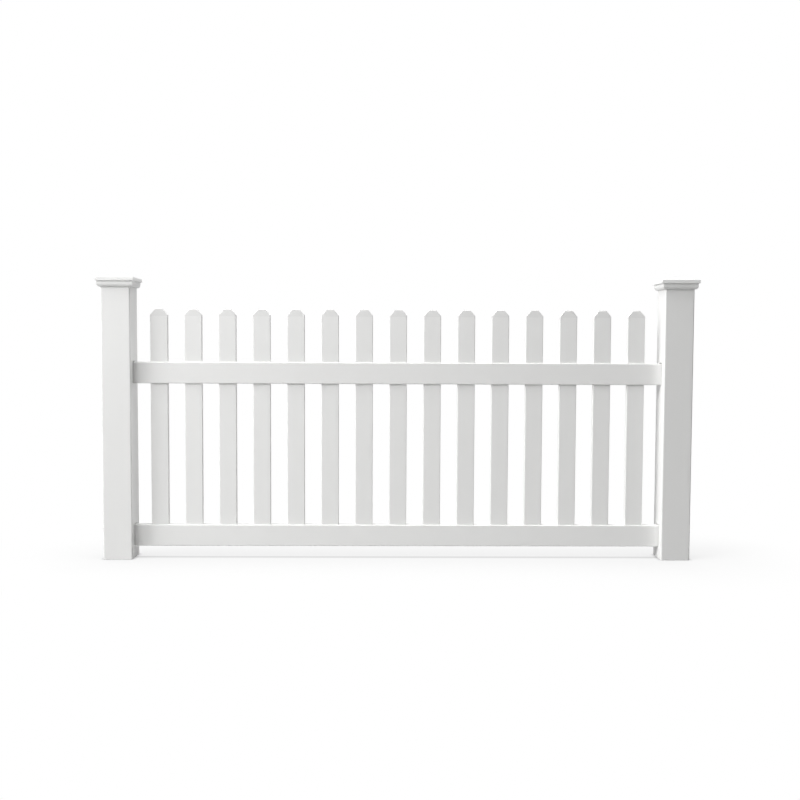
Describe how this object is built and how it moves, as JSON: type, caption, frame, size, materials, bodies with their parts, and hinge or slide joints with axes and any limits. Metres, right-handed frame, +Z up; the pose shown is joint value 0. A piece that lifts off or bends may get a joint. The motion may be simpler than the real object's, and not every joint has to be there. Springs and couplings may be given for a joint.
{
  "type": "picket fence panel",
  "caption": "White vinyl picket fence panel: capped square posts, two rails and a row of dog-eared pickets.",
  "frame": {"origin": "middle of the left post's foot, at ground level", "axes": "+X along the panel to the right post, +Y from the front to the back, +Z up"},
  "size_m": [2.6034, 0.165, 1.2407],
  "materials": {
    "post_vinyl": "extruded white PVC, satin",
    "rail_vinyl": "extruded white PVC, satin",
    "picket_vinyl": "extruded white PVC, satin",
    "cap_vinyl": "moulded white PVC, satin"
  },
  "bodies": {
    "root": {"left_post": "post_vinyl", "right_post": "post_vinyl", "left_post_cap": "cap_vinyl", "right_post_cap": "cap_vinyl", "bottom_rail": "rail_vinyl", "top_rail": "rail_vinyl", "picket_01": "picket_vinyl", "picket_02": "picket_vinyl", "picket_03": "picket_vinyl", "picket_04": "picket_vinyl", "picket_05": "picket_vinyl", "picket_06": "picket_vinyl", "picket_07": "picket_vinyl", "picket_08": "picket_vinyl", "picket_09": "picket_vinyl", "picket_10": "picket_vinyl", "picket_11": "picket_vinyl", "picket_12": "picket_vinyl", "picket_13": "picket_vinyl", "picket_14": "picket_vinyl", "picket_15": "picket_vinyl", "picket_cap_01": "cap_vinyl", "picket_cap_02": "cap_vinyl", "picket_cap_03": "cap_vinyl", "picket_cap_04": "cap_vinyl", "picket_cap_05": "cap_vinyl", "picket_cap_06": "cap_vinyl", "picket_cap_07": "cap_vinyl", "picket_cap_08": "cap_vinyl", "picket_cap_09": "cap_vinyl", "picket_cap_10": "cap_vinyl", "picket_cap_11": "cap_vinyl", "picket_cap_12": "cap_vinyl", "picket_cap_13": "cap_vinyl", "picket_cap_14": "cap_vinyl", "picket_cap_15": "cap_vinyl"}
  },
  "joints": []
}
